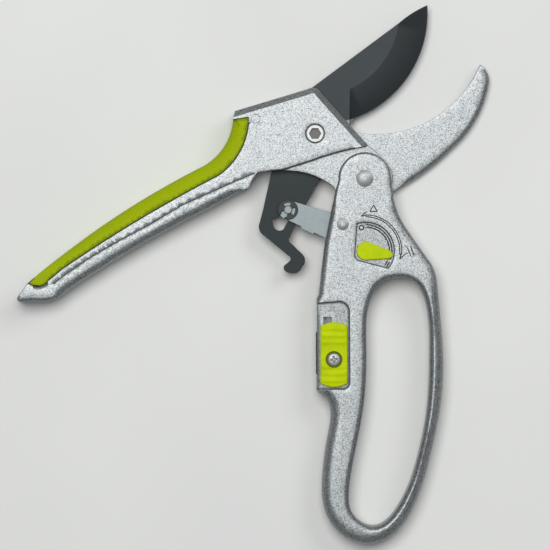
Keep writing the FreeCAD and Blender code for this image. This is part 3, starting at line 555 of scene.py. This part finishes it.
def finishPiece(mesh, node, name, angle=cornerAngle, finish=None):
    # smooth shading with true corners, the slot's finish or the one given, and a place on the node's body
    mesh.shade_smooth()
    mesh.set_sharp_from_angle(angle=math.radians(angle))
    piece = bpy.data.objects.new(name, mesh)
    bpy.context.scene.collection.objects.link(piece)
    mesh.materials.clear()
    mesh.materials.append(finish or finishes[slotOf[node]])
    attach(piece, bodyOf[node])
    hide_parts(node)
    return piece


def finishShape(shape, node, name):
    finishPiece(newMesh(name, shape["xyz"], shape["tri"], shape["engraved"]), node, name)


def applied(piece):
    # the piece with its modifiers made part of its mesh
    graph = bpy.context.evaluated_depsgraph_get()
    mesh = bpy.data.meshes.new_from_object(piece.evaluated_get(graph))
    piece.modifiers.clear()
    piece.data = mesh
    return piece


def softCopy(node, name, width, finish=None, markAt=None):
    # a merged copy of a CAD node whose sharp edges get a small round; markAt paints shade on places
    work = bmesh.new()
    work.from_mesh(frame["nodes"][node].data)
    bmesh.ops.remove_doubles(work, verts=work.verts, dist=2e-6)
    bmesh.ops.dissolve_limit(work, angle_limit=math.radians(0.6), verts=work.verts, edges=work.edges)
    mesh = bpy.data.meshes.new(name)
    work.to_mesh(mesh)
    work.free()
    piece = finishPiece(mesh, node, name, finish=finish)
    bevel = piece.modifiers.new("softEdges", "BEVEL")
    bevel.width = width * mm
    bevel.segments = 2
    bevel.limit_method = "ANGLE"
    bevel.angle_limit = math.radians(cornerAngle)
    bevel.use_clamp_overlap = True
    even = piece.modifiers.new("evenShading", "WEIGHTED_NORMAL")
    even.keep_sharp = True
    applied(piece)
    if markAt:
        xyz = np.empty(len(piece.data.vertices) * 3)
        piece.data.vertices.foreach_get("co", xyz)
        layer = piece.data.attributes.new("engraved", "FLOAT", "POINT")
        layer.data.foreach_set("value", markAt(xyz.reshape(-1, 3) / mm).astype(np.float32))
    return piece


def lathe(profile, centre, count=72):
    # profile (radius, height) turned about an upright axis: x = cx + r cos a, y = cy + r sin a, z = h
    profile = np.asarray(profile, float)
    angle = np.linspace(0, 2 * math.pi, count, endpoint=False)
    radius, height = profile[:, :1], profile[:, 1:]
    grid = np.stack([centre[0] + radius * np.cos(angle), centre[1] + radius * np.sin(angle),
                     height + 0 * angle], axis=2)
    rows, columns = np.meshgrid(np.arange(len(profile) - 1), np.arange(count), indexing="ij")
    corner = rows * count + columns
    side = rows * count + (columns + 1) % count
    faces = np.stack([corner, side, side + count, corner + count], axis=2).reshape(-1, 4)
    return grid.reshape(-1, 3), faces


armRun = math.radians(212.6)
armStart = np.array([-46.0, -18.0])


def armPlace(points):
    # distance along the arm from its bend, and offset to its outer side
    away = points - armStart
    along = away[:, 0] * math.cos(armRun) + away[:, 1] * math.sin(armRun)
    return along, away[:, 0] * math.sin(armRun) - away[:, 1] * math.cos(armRun)


def ramp(value, low, high):
    # 0 at low, 1 at high, smooth between
    share = np.clip((value - low) / (high - low), 0, 1)
    return share * share * (3 - 2 * share)


def upperHandle():
    size = {"edge": 3.0, "start": 0.2, "tip": 1.8, "seam": 0.3, "head": 0.5, "lug": 2.9, "lugEdge": 0.3}
    zone = {"lowerSide": -3.2, "bend": -27, "swollen": -36, "tip": 78, "headLower": -4, "plate": 4}
    crease = np.array([(-25.4, -16.6), (-35.8, -21.0), (-48.1, -26.6), (-54.3, -29.3), (-68.8, -37.9),
                       (-82.5, -45.2), (-92.9, -51.3), (-103.2, -58.2), (-108.0, -62.0)])

    def radiusAt(rim, depth):
        along, side = armPlace(rim)
        lowerEdge = (side < zone["lowerSide"]) & (rim[:, 0] < zone["bend"])
        swell = ramp(-rim[:, 0], -zone["bend"], -zone["swollen"])
        arm = np.where(lowerEdge, size["start"] + (size["edge"] - size["start"]) * swell, size["seam"])
        arm = np.where((along > zone["tip"]) & (side < 0), size["tip"], arm)
        headLower = (rim[:, 0] > zone["bend"]) & (rim[:, 1] < zone["headLower"])
        return np.where(headLower, size["head"], arm) * (rim[:, 1] < zone["plate"])

    lugTop = front - size["lug"]
    shape = merged("upper_handle", (0.0, lugTop, front), 0.9)
    # the crease groove is painted dark as shade
    engraving = {"paths": [spread(crease, 1.0)], "width": 0.42, "depth": 0.14}
    reface(shape, front, 1, radiusAt, engraving=engraving)
    # crevice paints a shade line along the foot of the head plate's wall on the lug
    reface(shape, lugTop, 1, lambda rim, depth: np.full(len(rim), size["lugEdge"]), crevice=0.45, step=1.5)
    reface(shape, 0.0, -1, radiusAt)
    finishShape(shape, "upper_handle", "upperHandle")


def gripInlay():
    size = {"edge": 4.8, "least": 0.5, "seam": 0.35, "taperFrom": 62, "taperTo": 84, "wall": 5}

    def radiusAt(rim, depth):
        # a full round on the outer side, which shrinks where the grip narrows to its tip
        taper = 1 - ramp(armPlace(rim)[0], size["taperFrom"], size["taperTo"])
        outer = size["least"] + (size["edge"] - size["least"]) * taper
        return np.where(depth > size["wall"], outer, size["seam"])

    flatness = 0.5
    shape = merged("grip_inlay", (0.0, inlayChamfer, front - inlayChamfer, front), 0.8, flatness)
    for level, up in ((front, 1), (0.0, -1)):
        # the seam mark is painted shade along the gap to the casting
        reface(shape, level, up, radiusAt, lip=size["seam"], flatness=flatness, step=1.6,
               seam=size["seam"] + 0.25)
    finishShape(shape, "grip_inlay", "gripInlay")


def hookJaw():
    size = {"edge": 2.1, "inner": 0.12, "swellFrom": 33.0, "swellTo": 41.0}
    inner = {"centre": np.array([24.8, 46.6]), "radius": 50.0}
    top = boxOf("hook_jaw")[1][2]

    def radiusAt(rim, depth):
        away = np.linalg.norm(rim - inner["centre"], axis=1)
        outer = (away > inner["radius"]) & (rim[:, 0] > size["swellFrom"])
        swell = ramp(rim[:, 0], size["swellFrom"], size["swellTo"])
        return np.where(outer, size["inner"] + (size["edge"] - size["inner"]) * swell, size["inner"])

    shape = merged("hook_jaw", (0.0, top), 0.8)
    reface(shape, top, 1, radiusAt)
    reface(shape, 0.0, -1, radiusAt)
    finishShape(shape, "hook_jaw", "hookJaw")


def barb(tip, heading, length=2.5):
    # one short stroke back from the tip
    angle = math.radians(heading)
    return np.array([tip, tip - length * np.array([math.cos(angle), math.sin(angle)])])


def turnedPath(path, degrees, place):
    # a small mark turned about its own middle and put at its place
    angle = math.radians(degrees)
    spin = np.array([[math.cos(angle), math.sin(angle)], [-math.sin(angle), math.cos(angle)]])
    return np.asarray(path, float) @ spin + np.array(place)


def lowerHandle():
    size = {"edge": 2.4, "head": 1.1, "loop": 4.0, "lip": 0.3}
    arrow = {"radius": 14.5, "gap": 0.8, "from": 97.5, "to": -13.5}
    track = {"radii": (9.85, 10.85), "from": 86, "to": -16, "detent": 0.95}
    marks = {"width": 0.46, "depth": 0.24}
    selector = selectorPivot[:2]
    selectorFloor, lockFloor, cheek = front - selectorDepth, front - lockDepth, 2.6

    def radiusAt(rim, depth):
        low = rim - handlePivot[:2]
        head = ramp(low[:, 1], -16, -6)
        loop = ramp(-low[:, 1], 40, 60)
        body = size["edge"] * (1 - loop) + size["loop"] * loop
        atPin = (np.linalg.norm(low, axis=1) < 3) | (np.linalg.norm(rim - linkPivot[:2], axis=1) < 2.5)
        rounded = (body * (1 - head) + size["head"] * head) * ~atPin
        return np.where(np.abs(depth - cheek) < 0.05, np.minimum(rounded, cheek - 0.25), rounded)

    def besideLock(rim, depth):
        return radiusAt(rim, depth) * (rim[:, 0] - handlePivot[0] < -19)

    arcs = [arc(selector, arrow["radius"] + side * arrow["gap"] / 2, arrow["from"] - 8, arrow["to"] + 8)
            for side in (-1, 1)]
    heads = []
    for angle, turn in ((arrow["from"], 90), (arrow["to"], -90)):
        tip = arc(selector, arrow["radius"], angle, angle + 1)[0]
        heads += [barb(tip, angle + turn + math.copysign(34, turn)), barb(tip, angle + turn, 1.9)]
    # a small triangle marks the ratchet's end of the arrow and two bars the plain end
    triangle = turnedPath([(-1.5, -1.3), (0.0, 1.4), (1.5, -1.3), (-1.5, -1.3)], 0, (24.2, -31.0))
    bars = [turnedPath([(-1.4, side), (1.4, side)], -68, (39.5, -48.5)) for side in (-0.7, 0.7)]
    engraving = {"paths": arcs + heads + [triangle] + bars, "width": marks["width"], "depth": marks["depth"]}
    shape = merged("lower_handle", (0.0, lockFloor, selectorFloor, front), 0.9)
    reface(shape, front, 1, radiusAt, engraving=engraving, lip=size["lip"])
    tracks = [arc(selector, radius, track["from"], track["to"]) for radius in track["radii"]]
    detent = arc((19.2, -39.0), track["detent"], 0, 360, 0.3)
    notches = [arc(selector, radius, -27, -35, 0.3) for radius in (9.9, 10.8)]
    floorMarks = {"paths": tracks + [detent] + notches, "width": 0.55, "depth": 0.3}
    # the recess floors get painted shade (shade) and a painted shade line at the foot of their walls
    # (crevice); their grooves are painted dark as shade
    reface(shape, selectorFloor, 1, radiusAt, engraving=floorMarks, crevice=0.55, step=1.5, shade=0.12)
    reface(shape, lockFloor, 1, besideLock, sunk=front - lockFloor, crevice=1.1, step=1.5, shade=0.15)
    reface(shape, 0.0, -1, radiusAt)
    finishShape(shape, "lower_handle", "lowerHandle")


upperHandle()
gripInlay()
hookJaw()
lowerHandle()
print("castings made")


def inSocket(xyz):
    # painted shade: 1 down in the bolt's hex socket, 0 on its face
    return ramp(front - xyz[:, 2], 0.1, 0.6) * (np.hypot(xyz[:, 0], xyz[:, 1]) < 2.9)


# each small part's name, the width of its rounded edges, and another slot's finish where it has one
smallParts = {
    "blade": ("coatedBlade", 0.12, None), "link": ("toggleLink", 0.22, None),
    "tang_pin": ("tangPin", 0.12, None), "main_nut": ("mainNut", 0.3, None),
    "selector_lever": ("selectorLever", 0.15, None), "selector_cam": ("selectorCam", 0.2, None),
    "e_clip": ("eClip", 0.14, "black_steel"), "head_dowel": ("paintedDowel", 0.2, "cast_silver"),
    # the lock latch takes blackened steel as painted shade, so the key window over it reads dark
    "lock_latch": ("lockLatch", 0.2, "black_steel"), "lug_spacer": ("lugSpacer", 0.1, None),
    "pivot_bushing": ("pivotBushing", 0.1, None), "selector_screw": ("selectorScrew", 0.1, None),
    "latch_washer": ("latchWasher", 0.1, None)}
softCopy("main_bolt", "mainBolt", 0.16, satinRivet, inSocket)
for node, (name, width, look) in smallParts.items():
    softCopy(node, name, width, finishes.get(look))
print("small parts softened")


def rivetHead(node, name, centre, size):
    # domed head: z = top + rise * (1 - (r / head)^2), with a small ring dimple, a chamfered shank end, and
    # painted shade round its rim
    shank, head, rise = size["shank"], size["head"], size["rise"]
    radii = head * np.sin(np.radians(np.linspace(90, 12, 12)))
    dome = front + 0.1 + (rise - 0.1) * (1 - (radii / head) ** 2)
    crown = [(1.0, front + rise - 0.05), (0.88, front + rise - 0.26), (0.6, front + rise - 0.26),
             (0.46, front + rise - 0.06), (0.0001, front + rise - 0.02)]
    dome = [pair for pair in zip(radii, dome) if pair[0] > 1.15]
    profile = [(0.0001, 0.0), (shank - 0.3, 0.0), (shank, 0.3), (shank, front - 0.02), (head, front - 0.02)]
    xyz, faces = lathe(profile + dome + crown, centre)
    reach = np.linalg.norm(xyz[:, :2] - centre[:2], axis=1)
    # painted shade ring at the head's rim
    marks = (reach > head - 0.1) * size["rimShade"]
    finishPiece(newMesh(name, xyz, faces, marks), node, name, 30, satinRivet)


def lockScrewHead():
    # pan head as rings and spokes; its height is lowered inside a cross of two tapering slots
    size = {"shank": 1.5, "head": 2.75, "rise": 0.75, "slot": 0.36, "reach": 1.55, "depth": 0.7, "turn": 8}
    seat, bottom = front - 0.6, boxOf("lock_screw")[0][2]
    centre = lockScrew[:2]
    radii = np.r_[np.linspace(size["head"], 2.0, 6), np.linspace(1.9, 0.08, 22), 0.0005]
    rise = seat + 0.12 + size["rise"] * np.sqrt(np.clip(1 - (radii / size["head"]) ** 2.6, 0, 1))
    profile = [(0.0005, bottom), (size["shank"], bottom), (size["shank"], seat), (size["head"], seat)]
    xyz, faces = lathe(profile + list(zip(radii, rise)), centre, 96)
    away = xyz[:, :2] - centre
    turn = math.radians(size["turn"])
    first = np.abs(away[:, 0] * math.cos(turn) + away[:, 1] * math.sin(turn))
    second = np.abs(away[:, 1] * math.cos(turn) - away[:, 0] * math.sin(turn))
    narrow, far = np.minimum(first, second), np.maximum(first, second)
    slot = 1 - ramp(narrow, size["slot"] * 0.7, size["slot"] * 1.3)
    slot *= 1 - ramp(far, size["reach"] - 0.5, size["reach"])
    top = xyz[:, 2] > seat + 0.1
    xyz[:, 2] -= np.where(top, slot * size["depth"], 0)
    xyz[:, 2] = np.where(top, np.maximum(xyz[:, 2], seat + 0.05), xyz[:, 2])
    # painted shade down in the cross slots
    marks = np.where(top, slot * 0.5, 0)
    finishPiece(newMesh("lockScrew", xyz, faces, marks), "lock_screw", "lockScrew", 50, satinRivet)


def lockSlider():
    # plate with bowed ends: top height is a stair of low bowed ribs, and a round seat is sunk for the screw
    low, high = boxOf("lock_slider")
    size = {"bow": 1.6, "seat": 3.5, "seatDepth": 0.62, "edge": 0.6, "rib": 0.34, "pitch": 2.8,
            "ribStart": 4.2, "ribs": 3, "ribBow": 0.3, "ribInset": 0.7, "base": 14.2}
    middle, half = (low[:2] + high[:2]) / 2, (high[:2] - low[:2]) / 2
    screw = lockScrew[:2]
    across = np.linspace(1, -1, 40)
    bowed = half[1] - size["bow"] * across ** 2
    upper = np.column_stack([middle[0] + across * half[0], middle[1] + bowed])
    lower = np.column_stack([middle[0] - across * half[0], middle[1] - bowed])
    outline = spread(np.vstack([upper, lower, upper[:1]]), 0.5)[:-1]
    count = len(outline)
    index = np.arange(count)
    nextOne = (index + 1) % count
    rimEdges = np.column_stack([index, nextOne])
    seats = [arc(screw, size["seat"] + gap, 0, 360, 0.35) for gap in (0.0, -0.08)]
    flanks = (0.0, 0.7, 1.3, 2.0)
    ribY = [side * (size["ribStart"] + size["pitch"] * rib + shift) for side in (-1, 1)
            for rib in range(size["ribs"]) for shift in flanks]
    xs = np.linspace(-half[0] + size["ribInset"], half[0] - size["ribInset"], 9)
    bowing = size["ribBow"] * (xs / half[0]) ** 2
    ribs = [np.column_stack([middle[0] + xs, middle[1] + y - np.sign(y) * bowing]) for y in ribY]
    starts, ends = outline, np.roll(outline, -1, axis=0)
    run = ends - np.roll(outline, 1, axis=0)
    run /= np.linalg.norm(run, axis=1, keepdims=True)
    rings = []
    for share in (0.06, 0.3, 0.6, 1.0):
        ring = outline + size["edge"] * share * np.column_stack([-run[:, 1], run[:, 0]])
        rings.append(ring[nearest(ring, starts, ends)[0] > size["edge"] * share * 0.9])
    grid = hexGrid(low[:2], high[:2], 1.2)
    loose = np.concatenate(rings + [grid[inside(grid, starts, ends)]])
    loose = loose[nearest(loose, starts, ends)[0] > 0.01]
    fromScrew = np.linalg.norm(loose - screw, axis=1)
    loose = loose[np.abs(fromScrew - size["seat"]) > 0.3]
    ribs = [rib[np.linalg.norm(rib - screw, axis=1) > size["seat"] + 0.5] for rib in ribs]
    xy, source, faces = triangulate(outline, rimEdges, loose, seats + [rib for rib in ribs if len(rib) > 1])
    away = xy - middle
    bowY = np.abs(away[:, 1]) + size["ribBow"] * (away[:, 0] / half[0]) ** 2 - size["ribStart"]
    phase = np.mod(bowY, size["pitch"])
    wave = ramp(phase, flanks[0], flanks[1]) * (1 - ramp(phase, flanks[2], flanks[3]))
    edgeGap = nearest(xy, starts, ends)[0]
    wave = wave * (bowY > -0.01) * (bowY < size["ribs"] * size["pitch"]) * ramp(edgeGap, 0.3, 0.9)
    top = high[2] - 0.06 - size["rib"] * (1 - wave) - roundDrop(edgeGap, size["edge"])
    inSeat = np.linalg.norm(xy - screw, axis=1) < size["seat"] - 0.04
    top = np.where(inSeat, front - size["seatDepth"], top)
    rimTop = np.column_stack([xy, top])
    foot = np.column_stack([outline, np.full(count, size["base"])])
    order = np.empty(count, dtype=int)
    onRim = (source >= 0) & (source < count)
    order[source[onRim]] = np.nonzero(onRim)[0]
    total = len(xy)
    walls = np.stack([order[nextOne], order[index], total + index, total + nextOne], axis=1)
    cells = faces.tolist() + walls.tolist() + [(total + index[::-1]).tolist()]
    mesh = bpy.data.meshes.new("lockSlider")
    mesh.from_pydata((np.vstack([rimTop, foot]) * mm).tolist(), [], cells)
    # painted shade in the sunk screw seat
    layer = mesh.attributes.new("engraved", "FLOAT", "POINT")
    layer.data.foreach_set("value", np.r_[inSeat, np.zeros(count)].astype(np.float32))
    finishPiece(mesh, "lock_slider", "lockSlider", 40)


def spring(node, name, joint, size, legs):
    # round wire along a helix: angle t, height pitch * t, with a straight leg (bearing, length) off each end
    low, high = boxOf(node)
    coil, wire, turns = size["coil"], size["wire"], size["turns"]
    middle = (low[2] + high[2]) / 2
    span = (high[2] - low[2]) - 2 * wire
    angles = np.radians(np.linspace(legs[1][0] - 90, legs[0][0] - 90 + 360 * turns, 48 * turns))
    heights = np.linspace(middle - span / 2, middle + span / 2, len(angles))
    helix = np.column_stack([joint[0] + coil * np.cos(angles), joint[1] + coil * np.sin(angles), heights])
    bearing = np.radians([leg[0] for leg in legs])
    way = np.column_stack([np.cos(bearing), np.sin(bearing), np.zeros(2)])
    steps = np.linspace(1, 0.05, 8)[:, None]
    first = helix[0] + way[1] * legs[1][1] * steps
    last = helix[-1] + way[0] * legs[0][1] * steps[::-1]
    tube(np.vstack([first, helix, last]), wire, node, name)


def tube(path, radius, node, name, sides=12):
    # circles across a path: centre + radius * (cos b * side + sin b * up), closed by a fan at both ends
    run = np.gradient(path, axis=0)
    run /= np.linalg.norm(run, axis=1, keepdims=True)
    side = np.cross(run, np.array([0, 0, 1.0]))
    side /= np.linalg.norm(side, axis=1, keepdims=True)
    rise = np.cross(side, run)
    around = np.linspace(0, 2 * math.pi, sides, endpoint=False)
    ring = path[:, None] + radius * (np.cos(around)[None, :, None] * side[:, None]
                                     + np.sin(around)[None, :, None] * rise[:, None])
    rows, columns = np.meshgrid(np.arange(len(path) - 1), np.arange(sides), indexing="ij")
    corner, beside = rows * sides + columns, rows * sides + (columns + 1) % sides
    faces = np.stack([corner, beside, beside + sides, corner + sides], axis=2).reshape(-1, 4).tolist()
    caps = [list(range(sides))[::-1], [(len(path) - 1) * sides + index for index in range(sides)]]
    mesh = bpy.data.meshes.new(name)
    mesh.from_pydata((ring.reshape(-1, 3) * mm).tolist(), [], faces + caps)
    work = bmesh.new()
    work.from_mesh(mesh)
    bmesh.ops.recalc_face_normals(work, faces=work.faces)
    work.to_mesh(mesh)
    work.free()
    finishPiece(mesh, node, name, 60)


rivetHead("handle_rivet", "handleRivet", handlePivot,
          {"shank": 2.5, "head": 3.5, "rise": 0.9, "rimShade": 0.9})
rivetHead("link_rivet", "linkRivet", linkPivot,
          {"shank": 1.8, "head": 2.45, "rise": 0.62, "rimShade": 0.4})
lockScrewHead()
lockSlider()
spring("return_spring", "returnSpring", handlePivot, {"coil": 5.2, "wire": 0.62, "turns": 2},
       [(-72.0, 14.0), (178.0, 8.0)])
spring("link_spring", "linkSpring", linkPivot, {"coil": 2.6, "wire": 0.36, "turns": 3},
       [(-60.0, 12.0), (190.0, 4.0)])
print("rivets, screw, slider and springs made")


sceneCentre = (-16.6, -58.6)


def stage():
    # a pale floor just under the shears
    floor = Finish("paleFloor", Roughness=0.85, Specular_IOR_Level=0.2)
    tone = floor.noise(140.0, 2.0)
    floor.drive(Base_Color=floor.mix(tone.step(0.3, 0.7), colour(222, 223, 221), colour(228, 229, 226)))
    half = 3000.0
    sheet = newMesh("floor", [(-half, -half, 0), (half, -half, 0), (half, half, 0), (-half, half, 0)],
                    [(0, 1, 2, 3)])
    sheet.materials.append(floor.material)
    ground = bpy.data.objects.new("floor", sheet)
    ground.location.z = -0.02 * mm
    bpy.context.scene.collection.objects.link(ground)


def softLight(name, place, target, size, power):
    light = bpy.data.lights.new(name, "AREA")
    light.shape = "DISK"
    light.size = size
    light.energy = power
    lamp = bpy.data.objects.new(name, light)
    lamp.location = place
    lamp.rotation_euler = (Vector(target) - Vector(place)).to_track_quat("-Z", "Y").to_euler()
    bpy.context.scene.collection.objects.link(lamp)


def studio():
    # one large soft key from above, a weak fill from the right, and a dim room
    centre = (sceneCentre[0] * mm, sceneCentre[1] * mm, 0.0)
    softLight("keyLight", (-0.2, 0.32, 1.95), centre, 1.15, 29.5)
    softLight("fillLight", (0.7, 0.62, 1.0), centre, 0.7, 4.2)
    world = bpy.data.worlds.new("room")
    world.use_nodes = True
    world.node_tree.nodes["Background"].inputs["Color"].default_value = (0.93, 0.96, 1.0, 1.0)
    world.node_tree.nodes["Background"].inputs["Strength"].default_value = 0.14
    bpy.context.scene.world = world
    bpy.context.scene.view_settings.view_transform = "Standard"


def camera():
    # straight down; the lens shows a strip "width" wide at the height "level"
    shot = {"width": 228.25, "height": 1600.0, "level": 12.0, "sensor": 36.0}
    lens = bpy.data.cameras.new("camera")
    lens.sensor_width = shot["sensor"]
    lens.lens = shot["sensor"] * (shot["height"] - shot["level"]) / shot["width"]
    lens.clip_start, lens.clip_end = 0.05, 20.0
    view = bpy.data.objects.new("camera", lens)
    view.location = (sceneCentre[0] * mm, sceneCentre[1] * mm, shot["height"] * mm)
    bpy.context.scene.collection.objects.link(view)
    bpy.context.scene.camera = view


stage()
studio()
camera()
print("ready")
